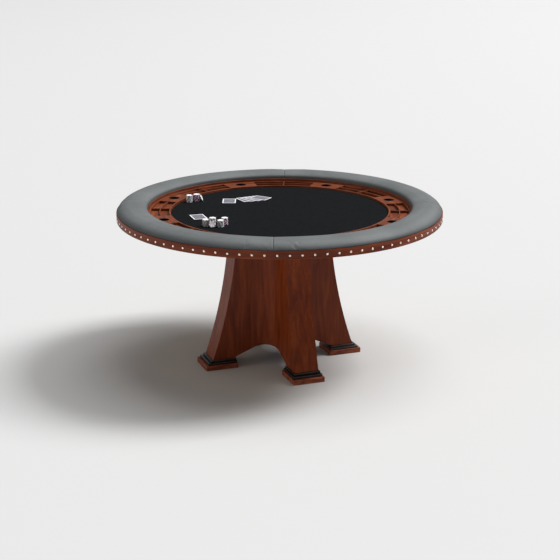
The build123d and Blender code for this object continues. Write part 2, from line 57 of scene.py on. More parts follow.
# Colour sockets of a mix node, whose other sockets have the same names: three inputs and an output.
MIX_SHARE, MIX_FIRST, MIX_SECOND, MIX_COLOUR = 0, 6, 7, 2
# Places in the noise field, one for each pattern of the rail and each measure of a chip's slip, so
# that they don't repeat each other.
WANDER_LAYER, RIDGE_LAYER, SWELL_LAYER = 3.1, 0.0, 8.0
SLIP_LAYERS = (0.3, 5.7, 11.1)

# Position and sRGB hex colour of each stop of a colour ramp.
Stops = tuple[tuple[float, str], ...]


# --- Small helpers ---------------------------------------------------------------------------


def linear(colour: str) -> tuple[float, float, float, float]:
    """Turn an sRGB hex colour into linear RGBA.

    Args:
        colour: six hex digits after a hash.

    Returns:
        The colour's linear red, green and blue, with alpha 1.
    """
    channels = [int(colour[i : i + 2], 16) / 255 for i in (1, 3, 5)]
    low, high, offset, gain, power = 0.04045, 12.92, 0.055, 1.055, 2.4
    return tuple(c / high if c <= low else ((c + offset) / gain) ** power for c in channels) + (1.0,)


def per_metre(size_mm: float) -> float:
    """Turn a pattern's real size in millimetres into a texture's scale."""
    return 1 / (size_mm * MM)


def add_node(
    tree: bpy.types.NodeTree,
    kind: str,
    inputs: dict[str | int, object] | None = None,
    stops: Stops = (),
    **settings: object,
) -> bpy.types.Node:
    """Add one shader node with its settings, socket values and incoming links.

    Args:
        tree: node tree that receives the node.
        kind: the node's type without its "ShaderNode" prefix.
        inputs: value for each input; a node (its first output) or an output socket is linked, and
            anything else is set.
        stops: position and sRGB hex colour of each stop, if the node has a colour ramp.
        settings: properties of the node itself.

    Returns:
        The new node.
    """
    node = tree.nodes.new("ShaderNode" + kind)
    for name, value in settings.items():
        setattr(node, name, value)
    if stops:
        elements = node.color_ramp.elements
        while len(elements) < len(stops):
            elements.new(0.5)
        for element, (position, colour) in zip(elements, stops):
            element.position = position
            element.color = linear(colour)
    for socket, value in (inputs or {}).items():
        source = value.outputs[0] if isinstance(value, bpy.types.Node) else value
        if isinstance(source, bpy.types.NodeSocket):
            tree.links.new(source, node.inputs[socket])
        else:
            node.inputs[socket].default_value = source
    return node


# --- Finishes --------------------------------------------------------------------------------


class GrainRun(Enum):
    """Which way the wood's grain runs on a piece."""

    ALONG_X = "x"
    UPRIGHT = "z"
    ROUND_THE_TABLE = "ring"


def grain_coordinates(tree: bpy.types.NodeTree, run: GrainRun, stretch: float) -> bpy.types.Node:
    """Coordinates for wood grain, squeezed along the grain so that a texture is drawn out.

    Args:
        tree: node tree that receives the nodes.
        run: which way the grain runs.
        stretch: how many times longer than wide the figure is.

    Returns:
        The node that gives a vector in metres whose first axis runs along the grain.
    """
    place = add_node(tree, "TexCoord").outputs["Object"]
    x, y, z = add_node(tree, "SeparateXYZ", {"Vector": place}).outputs
    if run is GrainRun.ROUND_THE_TABLE:
        turn = add_node(tree, "Math", {0: y, 1: x}, operation="ARCTAN2")
        bend = add_node(tree, "Math", {0: turn, 1: UNROLL_RADIUS}, operation="MULTIPLY")
        flat = add_node(tree, "CombineXYZ", {"X": x, "Y": y})
        reach = add_node(tree, "VectorMath", {0: flat}, operation="LENGTH").outputs["Value"]
        along, across, up = bend, reach, z
    elif run is GrainRun.UPRIGHT:
        along, across, up = z, x, y
    else:
        along, across, up = x, y, z
    drawn = add_node(tree, "Math", {0: along, 1: 1 / stretch}, operation="MULTIPLY")
    return add_node(tree, "CombineXYZ", {"X": drawn, "Y": across, "Z": up})


@dataclass(frozen=True)
class Finish:
    """What a surface is made of and how it was worked."""

    name: str

    def surface(self, tree: bpy.types.NodeTree) -> dict[str, object]:
        """Add the finish's own nodes.

        Args:
            tree: node tree that receives them.

        Returns:
            What each socket of the surface shader takes.
        """
        raise NotImplementedError

    def build(self) -> bpy.types.Material:
        """Build the material round one surface shader.

        Returns:
            The new material.
        """
        material = bpy.data.materials.new(self.name)
        material.use_nodes = True
        tree = material.node_tree
        tree.nodes.clear()
        shader = add_node(tree, "BsdfPrincipled", self.surface(tree))
        add_node(tree, "OutputMaterial", {"Surface": shader})
        return material


@dataclass(frozen=True)
class LacqueredWood(Finish):
    """Stained cherry veneer under sprayed lacquer.

    The eye sees slow dark and light figure, fine streaks along the grain, and a soft sheen with a
    faint clear coat over it. The pores are drawn about three times as wide as real ones, so that
    they show.
    """

    dark: str
    middle: str
    light: str
    run: GrainRun
    figure_mm: float = 26.0
    figure_stretch: float = 9.0
    figure_stops: tuple[float, float, float] = (0.30, 0.52, 0.72)
    streak_mm: float = 2.4
    streak_stretch: float = 45.0
    streak_tones: Stops = ((0.35, "#B8ABA2"), (0.60, "#FFFFFF"))
    streak_share: float = 0.55
    pore_mm: float = 0.9
    pore_tones: Stops = ((0.30, "#9A8F88"), (0.42, "#FFFFFF"))
    pore_share: float = 0.35
    pore_depth_mm: float = 0.05
    pore_relief: float = 0.25
    haze_mm: float = 111.0
    roughness: tuple[float, float] = (0.42, 0.55)
    specular: float = 0.16
    coat: float = 0.06
    coat_roughness: float = 0.22
    ior: float = 1.5

    def surface(self, tree: bpy.types.NodeTree) -> dict[str, object]:
        """Add figure, streaks, pores and the lacquer's haze.

        Args:
            tree: node tree that receives them.

        Returns:
            What each socket of the surface shader takes.
        """
        long_grain = grain_coordinates(tree, self.run, self.figure_stretch)
        fine_grain = grain_coordinates(tree, self.run, self.streak_stretch)
        place = add_node(tree, "TexCoord").outputs["Object"]
        figure, streaks, pores, haze = (
            add_node(tree, "TexNoise", {"Vector": where, "Scale": per_metre(size), **more})
            for where, size, more in (
                (long_grain, self.figure_mm, {"Detail": 4.0, "Distortion": 0.7}),
                (fine_grain, self.streak_mm, {"Detail": 3.0}),
                (fine_grain, self.pore_mm, {"Detail": 1.0}),
                (place, self.haze_mm, {"Detail": 3.0}),
            )
        )
        shades = tuple(zip(self.figure_stops, (self.dark, self.middle, self.light)))
        veneer = add_node(tree, "ValToRGB", {"Fac": figure}, shades)
        for share, pattern, tones in (
            (self.streak_share, streaks, self.streak_tones),
            (self.pore_share, pores, self.pore_tones),
        ):
            tone = add_node(tree, "ValToRGB", {"Fac": pattern}, tones)
            mix = {MIX_SHARE: share, MIX_FIRST: veneer, MIX_SECOND: tone}
            veneer = add_node(tree, "Mix", mix, data_type="RGBA", blend_type="MULTIPLY").outputs[MIX_COLOUR]
        low, high = self.roughness
        relief = {"Strength": self.pore_relief, "Distance": self.pore_depth_mm * MM, "Height": pores}
        return {
            "Base Color": veneer,
            "Roughness": add_node(tree, "MapRange", {"Value": haze, "To Min": low, "To Max": high}),
            "Normal": add_node(tree, "Bump", relief),
            "IOR": self.ior,
            "Specular IOR Level": self.specular,
            "Coat Weight": self.coat,
            "Coat Roughness": self.coat_roughness,
            "Coat IOR": self.ior,
        }


@dataclass(frozen=True)
class PaintedWood(Finish):
    """Moulded wood under black sprayed lacquer.

    The eye sees near-black with a soft sheen, browner and duller where it has been rubbed.
    """

    paint_tones: Stops = ((0.45, "#0B0A0A"), (0.75, "#1D1613"))
    streak_mm: float = 3.0
    streak_stretch: float = 20.0
    streak_depth_mm: float = 0.08
    streak_relief: float = 0.3
    wear_mm: float = 17.0
    roughness: tuple[float, float] = (0.22, 0.40)
    coat: float = 0.2
    coat_roughness: float = 0.15

    def surface(self, tree: bpy.types.NodeTree) -> dict[str, object]:
        """Add the grain that shows through the paint, and its wear.

        Args:
            tree: node tree that receives them.

        Returns:
            What each socket of the surface shader takes.
        """
        grain = grain_coordinates(tree, GrainRun.ALONG_X, self.streak_stretch)
        place = add_node(tree, "TexCoord").outputs["Object"]
        lines = {"Vector": grain, "Scale": per_metre(self.streak_mm), "Detail": 3.0}
        patches = {"Vector": place, "Scale": per_metre(self.wear_mm), "Detail": 5.0}
        streaks, wear = add_node(tree, "TexNoise", lines), add_node(tree, "TexNoise", patches)
        low, high = self.roughness
        relief = {"Strength": self.streak_relief, "Distance": self.streak_depth_mm * MM, "Height": streaks}
        return {
            "Base Color": add_node(tree, "ValToRGB", {"Fac": wear}, self.paint_tones),
            "Roughness": add_node(tree, "MapRange", {"Value": wear, "To Min": low, "To Max": high}),
            "Normal": add_node(tree, "Bump", relief),
            "Coat Weight": self.coat,
            "Coat Roughness": self.coat_roughness,
        }


@dataclass(frozen=True)
class SoftVinyl(Finish):
    """Embossed upholstery vinyl, stretched over foam.

    The embossing reads as a fine pebble that breaks up the highlight; it is drawn about twice as
    coarse as real embossing, so that it shows. The pebble's valleys are painted darker, as painted
    shade. Below the crest the rail is painted darker, as painted shade on its sides.
    """

    broad_tones: Stops = ((0.35, "#5E6162"), (0.65, "#686B6B"))
    broad_mm: float = 200.0
    pebble_mm: float = 2.2
    # Painted shade: the darker tone goes into the valleys of the embossing.
    valley_shade_tones: Stops = ((0.25, "#FFFFFF"), (0.75, "#B9BABC"))
    valley_shade_share: float = 0.45
    crease_mm: float = 9.0
    # Painted shade: this tone is multiplied into the rail below the crest. The two heights in mm are where
    # it gives way to the crest's plain colour.
    side_shade_tone: str = "#B2B2B4"
    shade_fade_mm: tuple[float, float] = (729.0, 755.0)
    roughness: tuple[float, float] = (0.52, 0.66)
    depth_mm: float = 0.35
    relief: float = 0.45
    ior: float = 1.45
    specular: float = 0.3

    def surface(self, tree: bpy.types.NodeTree) -> dict[str, object]:
        """Add the embossing with painted shade in its valleys, the creases, and painted shade below the
        crest.

        Args:
            tree: node tree that receives them.

        Returns:
            What each socket of the surface shader takes.
        """
        place = add_node(tree, "TexCoord").outputs["Object"]
        cells = {"Vector": place, "Scale": per_metre(self.pebble_mm)}
        pebble = add_node(tree, "TexVoronoi", cells, feature="SMOOTH_F1")
        wrinkles = {"Vector": place, "Scale": per_metre(self.crease_mm), "Detail": 5.0, "Roughness": 0.6}
        patches = {"Vector": place, "Scale": per_metre(self.broad_mm), "Detail": 3.0}
        crease, broad = add_node(tree, "TexNoise", wrinkles), add_node(tree, "TexNoise", patches)
        tone = add_node(tree, "ValToRGB", {"Fac": broad}, self.broad_tones)
        # Painted shade: the edges of the pebble cells, the embossing's valleys, are painted darker.
        valley_shade = add_node(tree, "ValToRGB", {"Fac": pebble}, self.valley_shade_tones)
        mix = {MIX_SHARE: self.valley_shade_share, MIX_FIRST: tone, MIX_SECOND: valley_shade}
        embossed = add_node(tree, "Mix", mix, data_type="RGBA", blend_type="MULTIPLY").outputs[MIX_COLOUR]
        # Painted shade: the sides below the crest are darkened with the side tone, and only the crest keeps
        # the plain embossed colour.
        mix = {MIX_SHARE: 1.0, MIX_FIRST: embossed, MIX_SECOND: linear(self.side_shade_tone)}
        shaded_sides = add_node(tree, "Mix", mix, data_type="RGBA", blend_type="MULTIPLY").outputs[MIX_COLOUR]
        height = add_node(tree, "SeparateXYZ", {"Vector": place}).outputs["Z"]
        low, high = (level * MM for level in self.shade_fade_mm)
        crest_share = add_node(tree, "MapRange", {"Value": height, "From Min": low, "From Max": high})
        mix = {MIX_SHARE: crest_share, MIX_FIRST: shaded_sides, MIX_SECOND: embossed}
        low, high = self.roughness
        height = add_node(tree, "Math", {0: pebble, 1: crease}, operation="MULTIPLY")
        relief = {"Strength": self.relief, "Distance": self.depth_mm * MM, "Height": height}
        return {
            "Base Color": add_node(tree, "Mix", mix, data_type="RGBA").outputs[MIX_COLOUR],
            "Roughness": add_node(tree, "MapRange", {"Value": crease, "To Min": low, "To Max": high}),
            "Normal": add_node(tree, "Bump", relief),
            "IOR": self.ior,
            "Specular IOR Level": self.specular,
        }


@dataclass(frozen=True)
class PlayingCloth(Finish):
    """Black worsted card cloth with a short brushed nap.

    Thread colour and nap direction wander, so the black reads as a fine mottle and not as paint.
    Threads are drawn about twice as thick as real ones, so that they show.
    """

    mottle_tones: Stops = ((0.38, "#0C0E10"), (0.64, "#1B1D20"))
    mottle_mm: float = 7.0
    thread_mm: float = 1.3
    thread_tones: Stops = ((0.30, "#6E7072"), (0.70, "#FFFFFF"))
    thread_share: float = 0.6
    nap_mm: float = 0.5
    nap_relief: float = 0.6
    roughness: float = 0.95
    specular: float = 0.05

    def surface(self, tree: bpy.types.NodeTree) -> dict[str, object]:
        """Add the threads and the mottle of the nap.

        Args:
            tree: node tree that receives them.

        Returns:
            What each socket of the surface shader takes.
        """
        place = add_node(tree, "TexCoord").outputs["Object"]
        threads = {"Vector": place, "Scale": per_metre(self.thread_mm), "Detail": 3.0}
        patches = {"Vector": place, "Scale": per_metre(self.mottle_mm), "Detail": 6.0, "Roughness": 0.7}
        fibres, mottle = add_node(tree, "TexNoise", threads), add_node(tree, "TexNoise", patches)
        mix = {
            MIX_SHARE: self.thread_share,
            MIX_FIRST: add_node(tree, "ValToRGB", {"Fac": mottle}, self.mottle_tones),
            MIX_SECOND: add_node(tree, "ValToRGB", {"Fac": fibres}, self.thread_tones),
        }
        nap = {"Strength": self.nap_relief, "Distance": self.nap_mm * MM, "Height": fibres}
        return {
            "Base Color": add_node(
                tree, "Mix", mix, data_type="RGBA", blend_type="MULTIPLY"
            ).outputs[MIX_COLOUR],
            "Roughness": self.roughness,
            "Normal": add_node(tree, "Bump", nap),
            "Specular IOR Level": self.specular,
        }


@dataclass(frozen=True)
class PlatedMetal(Finish):
    """Pressed or turned metal under a thin plating.

    The eye sees a bright metal with faint tarnish in patches.
    """

    bright: str
    dull: str
    roughness: tuple[float, float] = (0.16, 0.32)
    tarnish_mm: float = 3.1
    tarnish_stops: tuple[float, float] = (0.40, 0.78)

    def surface(self, tree: bpy.types.NodeTree) -> dict[str, object]:
        """Add the tarnish.

        Args:
            tree: node tree that receives it.

        Returns:
            What each socket of the surface shader takes.
        """
        place = add_node(tree, "TexCoord").outputs["Object"]
        patches = {"Vector": place, "Scale": per_metre(self.tarnish_mm), "Detail": 4.0}
        tarnish = add_node(tree, "TexNoise", patches)
        low, high = self.roughness
        tones = tuple(zip(self.tarnish_stops, (self.bright, self.dull)))
        return {
            "Base Color": add_node(tree, "ValToRGB", {"Fac": tarnish}, tones),
            "Roughness": add_node(tree, "MapRange", {"Value": tarnish, "To Min": low, "To Max": high}),
            "Metallic": 1.0,
        }


@dataclass(frozen=True)
class MouldedPlastic(Finish):
    """Injection-moulded plastic or pressed clay composite.

    The eye sees an even colour and a soft sheen, a little duller where it has been handled. The
    moulded texture is drawn about four times as coarse as a real one, so that it shows.
    """

    colour: str
    scuffed: str
    roughness: tuple[float, float] = (0.35, 0.5)
    texture_mm: float = 0.8
    texture_depth_mm: float = 0.06
    texture_relief: float = 0.35
    handling_mm: float = 11.0
    handling_stops: tuple[float, float] = (0.45, 0.80)

    def surface(self, tree: bpy.types.NodeTree) -> dict[str, object]:
        """Add the moulded texture and the marks of handling.

        Args:
            tree: node tree that receives them.

        Returns:
            What each socket of the surface shader takes.
        """
        place = add_node(tree, "TexCoord").outputs["Object"]
        grit = {"Vector": place, "Scale": per_metre(self.texture_mm), "Detail": 2.0}
        patches = {"Vector": place, "Scale": per_metre(self.handling_mm), "Detail": 4.0}
        texture, handling = add_node(tree, "TexNoise", grit), add_node(tree, "TexNoise", patches)
        low, high = self.roughness
        relief = {"Strength": self.texture_relief, "Distance": self.texture_depth_mm * MM, "Height": texture}
        tones = tuple(zip(self.handling_stops, (self.colour, self.scuffed)))
        return {
            "Base Color": add_node(tree, "ValToRGB", {"Fac": handling}, tones),
            "Roughness": add_node(tree, "MapRange", {"Value": handling, "To Min": low, "To Max": high}),
            "Normal": add_node(tree, "Bump", relief),
        }


@dataclass(frozen=True)
class RawWood(Finish):
    """Sanded plywood or sawn timber with no finish: pale, dull, with open grain."""

    pale: str
    deep: str
    run: GrainRun = GrainRun.ALONG_X
    band_mm: float = 11.0
    band_stretch: float = 14.0
    band_stops: tuple[float, float] = (0.32, 0.66)
    band_depth_mm: float = 0.2
    band_relief: float = 0.4
    roughness: float = 0.72

    def surface(self, tree: bpy.types.NodeTree) -> dict[str, object]:
        """Add the bands of early and late wood.

        Args:
            tree: node tree that receives them.

        Returns:
            What each socket of the surface shader takes.
        """
        grain = grain_coordinates(tree, self.run, self.band_stretch)
        bands = add_node(tree, "TexNoise", {
            "Vector": grain, "Scale": per_metre(self.band_mm), "Detail": 6.0, "Distortion": 0.9,
        })
        relief = {"Strength": self.band_relief, "Distance": self.band_depth_mm * MM, "Height": bands}
        tones = tuple(zip(self.band_stops, (self.deep, self.pale)))
        return {
            "Base Color": add_node(tree, "ValToRGB", {"Fac": bands}, tones),
            "Roughness": self.roughness,
            "Normal": add_node(tree, "Bump", relief),
        }


@dataclass(frozen=True)
class PrintedCard(Finish):
    """The printed middle of a card's back: a lattice of fine pale lines on dark ink."""

    ink_tones: Stops = ((0.80, "#2B2C36"), (0.93, "#9A9AA6"))
    lattice_mm: float = 5.0
    lattice_turns: tuple[float, float] = (45.0, -45.0)
    roughness: float = 0.35

    def surface(self, tree: bpy.types.NodeTree) -> dict[str, object]:
        """Add the lattice, as two sets of lines that cross.

        Args:
            tree: node tree that receives it.

        Returns:
            What each socket of the surface shader takes.
        """
        place = add_node(tree, "TexCoord").outputs["UV"]
        scale = per_metre(self.lattice_mm) / math.pi
        lines = []
        for turn in self.lattice_turns:
            rotation = (0.0, 0.0, math.radians(turn))
            aimed = add_node(tree, "Mapping", {"Vector": place, "Rotation": rotation})
            lines.append(add_node(tree, "TexWave", {"Vector": aimed, "Scale": scale}).outputs["Fac"])
        crossing = add_node(tree, "Math", {0: lines[0], 1: lines[1]}, operation="MAXIMUM")
        return {
            "Base Color": add_node(tree, "ValToRGB", {"Fac": crossing}, self.ink_tones),
            "Roughness": self.roughness,
        }


@dataclass(frozen=True)
class FloorPaint(Finish):
    """Matt floor paint: one even pale grey with no highlight."""

    colour: str = "#BCBCBC"
    speckle_mm: float = 25.0
    roughness: tuple[float, float] = (0.86, 0.94)

    def surface(self, tree: bpy.types.NodeTree) -> dict[str, object]:
        """Add a trace of texture.

        Args:
            tree: node tree that receives it.

        Returns:
            What each socket of the surface shader takes.
        """
        place = add_node(tree, "TexCoord").outputs["Object"]
        speckle = add_node(tree, "TexNoise", {"Vector": place, "Scale": per_metre(self.speckle_mm)})
        low, high = self.roughness
        return {
            "Base Color": linear(self.colour),
            "Roughness": add_node(tree, "MapRange", {"Value": speckle, "To Min": low, "To Max": high}),
            "Specular IOR Level": 0.0,
        }


# --- Meshes ----------------------------------------------------------------------------------


def make_piece(
    name: str,
    mesh: bmesh.types.BMesh,
    materials: list[bpy.types.Material],
    body: str,
    replaced: tuple[str, ...] = (),
) -> bpy.types.Object:
    """Turn a finished bmesh into a piece that rides on a body.

    Args:
        name: the piece's name.
        mesh: its surface, freed here.
        materials: materials in the order of the faces' indices.
        body: body that carries it.
        replaced: CAD nodes that it stands for.

    Returns:
        The new object.
    """
    bmesh.ops.recalc_face_normals(mesh, faces=mesh.faces)
    data = bpy.data.meshes.new(name)
    mesh.to_mesh(data)
    mesh.free()
    for material in materials:
        data.materials.append(material)
    piece = bpy.data.objects.new(name, data)
    bpy.context.scene.collection.objects.link(piece)
    data.polygons.foreach_set("use_smooth", [True] * len(data.polygons))
    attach(piece, body)
    if replaced:
        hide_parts(*replaced)
    LOG.info("%s: %d faces on %s", name, len(data.polygons), body)
    return piece


def smooth_path(points: list[tuple[float, float]], steps: int) -> list[tuple[float, float]]:
    """Run a Catmull-Rom curve through a few outline points.

    Args:
        points: the outline's own points.
        steps: divisions between two points.

    Returns:
        The curve's points, from the first outline point to the last.
    """
    ends = [points[0], *points, points[-1]]
    path = []
    for before, start, end, after in zip(ends, ends[1:], ends[2:], ends[3:]):
        for step in range(steps):
            t = step / steps
            path.append(tuple(
                b + 0.5 * t * (c - a + t * (2 * a - 5 * b + 4 * c - d + t * (3 * b - a - 3 * c + d)))
                for a, b, c, d in zip(before, start, end, after)
            ))
    path.append(points[-1])
    return path


def rounded_rectangle(half_x: float, half_y: float, radius: float, steps: int) -> list[Vector]:
    """Points round a rectangle with rounded corners, centred on the origin.

    Args:
        half_x: half its size along X.
        half_y: half its size along Y.
        radius: radius of its corners.
        steps: divisions of each corner.

    Returns:
        Points in order round it, from the corner at +X and +Y.
    """
    points = []
    for quadrant, (sx, sy) in enumerate(((1, 1), (-1, 1), (-1, -1), (1, -1))):
        for step in range(steps + 1):
            bend = math.pi / 2 * (quadrant + step / steps)
            points.append(Vector((
                sx * (half_x - radius) + radius * math.cos(bend),
                sy * (half_y - radius) + radius * math.sin(bend),
            )))
    return points


def bridge(
    mesh: bmesh.types.BMesh, low: list[bmesh.types.BMVert], high: list[bmesh.types.BMVert]
) -> None:
    """Join two rings of vertices with a band of faces.

    Args:
        mesh: mesh that receives the faces.
        low: one ring, or a single vertex that stands for all of it.
        high: the other ring, with as many vertices or with one.
    """
    count = max(len(low), len(high))
    for side in range(count):
        following = (side + 1) % count
        corners = [low[side % len(low)], low[following % len(low)]]
        corners += [high[following % len(high)], high[side % len(high)]]
        mesh.faces.new(list(dict.fromkeys(corners)))


def turn_profile(
    mesh: bmesh.types.BMesh,
    profile: list[tuple[float, float]],
    sides: int,
    where: Matrix,
) -> None:
    """Spin a closed-ended profile round its own axis and add it to a mesh.

    Args:
        mesh: mesh that receives the faces.
        profile: radius and height of each point, starting and ending on the axis.
        sides: number of divisions round the axis.
        where: placement of the turned form.
    """
    rings = []
    for radius, height in profile:
        if radius == 0:
            rings.append([mesh.verts.new(where @ Vector((0, 0, height)))])
            continue
        ring = []
        for side in range(sides):
            turn = math.tau * side / sides
            place = Vector((radius * math.cos(turn), radius * math.sin(turn), height))
            ring.append(mesh.verts.new(where @ place))
        rings.append(ring)
    for low, high in zip(rings, rings[1:]):
        bridge(mesh, low, high)


# --- Sub-assemblies --------------------------------------------------------------------------


@dataclass
class PaddedRail:
    """The padded rail: foam under vinyl in four lengths that are pulled together at their seams."""

    vinyl: bpy.types.Material
    lengths: int = 4
    mean_radius: float = 680 * MM
    core: tuple[float, float] = (675 * MM, 728 * MM)
    crest: float = 761.9 * MM
    outer_radius: float = 745.0 * MM
    stapled_height: float = 727 * MM
    free_rise: float = 8 * MM
    seam_radius: float = 2.8 * MM
    seam_gap: float = 0.35 * MM
    seam_steps: tuple[float, ...] = (0.0, 0.3 * MM, 0.8 * MM, 1.6 * MM)
    pucker_reach: float = 110 * MM
    pucker_depth: float = 0.9 * MM
    pucker_fade: float = 1.3
    pucker_width: float = 13 * MM
    pucker_wander: float = 1.4
    wander_rate: tuple[float, float] = (0.55, 9.0)
    across_rate: float = 5.0
    hollow_depth: float = 0.9 * MM
    hollow_fade: int = 3
    swell_height: float = 0.6 * MM
    swell_rate: tuple[float, float] = (7.0, 8.0)
    fine_step: float = 2.6 * MM
    coarse_step: float = 12 * MM
    section_steps: int = 4
    foam_fill: float = 0.9
    pressure: float = 4.0
    slack: float = 0.0008
    stretch_stiffness: float = 40.0
    bending_stiffness: float = 12.0
    cloth_quality: int = 4
    settle_frames: int = 20
    most_move: float = 3 * MM
    section: list[tuple[float, float]] = field(default_factory=lambda: [
        (606.6, 726.6), (606.4, 738.0), (609.6, 747.2), (621.0, 753.6), (643.0, 758.8), (666.0, 761.6),
        (689.0, 761.4), (710.0, 757.6), (727.0, 750.2), (738.5, 740.4), (744.2, 731.0), (744.4, 726.6),
    ])

    def stations(self, run: float) -> list[float]:
        """Distances along one length: close together near its seams and wide apart between.

        Args:
            run: the length's run at mid width.

        Returns:
            Distances from its first seam.
        """
        edge = list(self.seam_steps)
        reach = edge[-1]
        while reach < self.pucker_reach:
            reach += self.fine_step
            edge.append(reach)
        middle_run = run - 2 * reach
        count = round(middle_run / self.coarse_step)
        middle = [reach + middle_run * step / count for step in range(1, count)]
        return edge + middle + [run - distance for distance in reversed(edge)]

    def surface(self, radius: float, height: float, bearing: float, to_seam: float) -> Vector:
        """Where one point of the cover lies once seams and creases have pulled it.

        Args:
            radius: the point's radius in the plain section.
            height: its height in the plain section.
            bearing: its bearing round the table, in radians.
            to_seam: distance to the nearest seam.

        Returns:
            The point in the table's frame.
        """
        spot = Vector((radius, height))
        lift = max(0.0, min(1.0, (height - self.stapled_height) / self.free_rise))
        roll = 0.0
        if to_seam < self.seam_radius:
            roll = self.seam_radius - math.sqrt(self.seam_radius**2 - (self.seam_radius - to_seam) ** 2)
        pull = max(0.0, 1 - to_seam / self.pucker_reach)
        hollow = self.hollow_depth * pull**self.hollow_fade
        phase = radius * bearing / self.pucker_width
        round_rate, out_rate = self.wander_rate
        wander = noise.noise(Vector((phase * round_rate, radius * out_rate, WANDER_LAYER)))
        along = phase + self.pucker_wander * wander
        ridge = noise.noise(Vector((along, radius * self.across_rate, RIDGE_LAYER)))
        crease = self.pucker_depth * pull**self.pucker_fade * (0.5 + ridge)
        round_rate, out_rate = self.swell_rate
        place = Vector((radius * bearing * round_rate, radius * out_rate, SWELL_LAYER))
        swell = self.swell_height * noise.noise(place)
        inward = (Vector(self.core) - spot).normalized() * lift * (roll + hollow + crease - swell)
        spot += inward
        return Vector((spot.x * math.cos(bearing), spot.x * math.sin(bearing), spot.y))

    def settle(self, cover: bpy.types.Object, held: list[int]) -> None:
        """Let the foam's pressure settle one slightly slack cover as cloth, then keep its shape.

        Args:
            cover: the length's piece.
            held: vertices held by staples underneath and by the seams at both ends.
        """
        scene = bpy.context.scene
        group = cover.vertex_groups.new(name="held")
        group.add(held, 1.0, "REPLACE")
        cloth = cover.modifiers.new("vinyl", "CLOTH")
        cloth.settings.vertex_group_mass = group.name
        cloth.settings.quality = self.cloth_quality
        cloth.settings.use_pressure = True
        cloth.settings.uniform_pressure_force = self.pressure
        cloth.settings.shrink_min = -self.slack
        cloth.settings.effector_weights.gravity = 0.0
        cloth.settings.tension_stiffness = self.stretch_stiffness
        cloth.settings.compression_stiffness = self.stretch_stiffness
        cloth.settings.bending_stiffness = self.bending_stiffness
        cloth.collision_settings.use_collision = False
        cloth.point_cache.frame_start, cloth.point_cache.frame_end = 1, self.settle_frames
        for step in range(1, self.settle_frames + 1):
            scene.frame_set(step)
        settled = cover.evaluated_get(bpy.context.evaluated_depsgraph_get()).to_mesh()
        greatest = 0.0
        for vertex, new in zip(cover.data.vertices, settled.vertices):
            move = new.co - vertex.co
            greatest = max(greatest, move.length)
            if move.length > self.most_move:
                move *= self.most_move / move.length
            vertex.co += move
            vertex.co.z = min(vertex.co.z, self.crest)
            reach = math.hypot(vertex.co.x, vertex.co.y)
            if reach > self.outer_radius:
                vertex.co.x *= self.outer_radius / reach
                vertex.co.y *= self.outer_radius / reach
        cover.modifiers.remove(cloth)
        scene.frame_set(1)
        LOG.info("%s settled, greatest move %.1f mm", cover.name, greatest / MM)

    def build(self) -> None:
        """Build the four lengths."""
        profile = [(r * MM, z * MM) for r, z in smooth_path(self.section, self.section_steps)]
        across = len(profile)
        run = math.tau / self.lengths * self.mean_radius - 2 * self.seam_gap
        for number in range(1, self.lengths + 1):
            mesh = bmesh.new()
            start = -math.tau / self.lengths * number + self.seam_gap / self.mean_radius
            rows = []
            for distance in self.stations(run):
                bearing = start + distance / self.mean_radius
                to_seam = min(distance, run - distance)
                rows.append([mesh.verts.new(self.surface(r, z, bearing, to_seam)) for r, z in profile])
            for row, following in zip(rows, rows[1:]):
                bridge(mesh, row, following)
            for end in (rows[0], rows[-1]):
                mesh.faces.new(end)
            count = len(rows)
            stapled = [row * across + i for row in range(count) for i in (0, 1, across - 2, across - 1)]
            seams = (0, 1, 2, count - 3, count - 2, count - 1)
            sewn = [row * across + i for row in seams for i in range(across)]
            name = f"rail_cover_{number}"
            cover = make_piece(name, mesh, [self.vinyl], "table", (f"rail_pad_{number}",))
            self.settle(cover, sorted(set(stapled + sewn)))


@dataclass
class PlayingField:
    """The stretched cloth, wrapped a little over the edge of its board."""

    cloth: bpy.types.Material
    edge_radius: float = 1.2 * MM
    edge_steps: int = 4
    hem: float = 1 * MM
    hem_share: float = 0.1
    ripple: float = 0.12 * MM
    ripple_rate: float = 6.0
    ripple_reach: float = 0.1 * MM
    rings: int = 60
    ring_spacing: float = 0.8
    sides: int = 240

    def build(self) -> None:
        """Build the cloth."""
        low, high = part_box("felt_cloth")
        radius = high.x
        profile = [
            (radius * (step / self.rings) ** self.ring_spacing, high.z) for step in range(self.rings + 1)
        ]
        profile = [point for point in profile if point[0] < radius - self.edge_radius]
        for step in range(self.edge_steps + 1):
            bend = math.pi / 2 * step / self.edge_steps
            profile.append((
                radius - self.edge_radius * (1 - math.sin(bend)),
                high.z - self.edge_radius * (1 - math.cos(bend)),
            ))
        hem_top = low.z + self.hem_share * (high.z - low.z)
        profile += [(radius, hem_top), (radius - self.hem, low.z), (0.0, low.z)]
        mesh = bmesh.new()
        turn_profile(mesh, profile, self.sides, Matrix.Identity(4))
        for vert in mesh.verts:
            if vert.co.z > high.z - self.ripple_reach:
                vert.co.z -= self.ripple * (0.5 + noise.noise(vert.co * self.ripple_rate))
        piece = make_piece("playing_cloth", mesh, [self.cloth], "table", ("felt_cloth",))


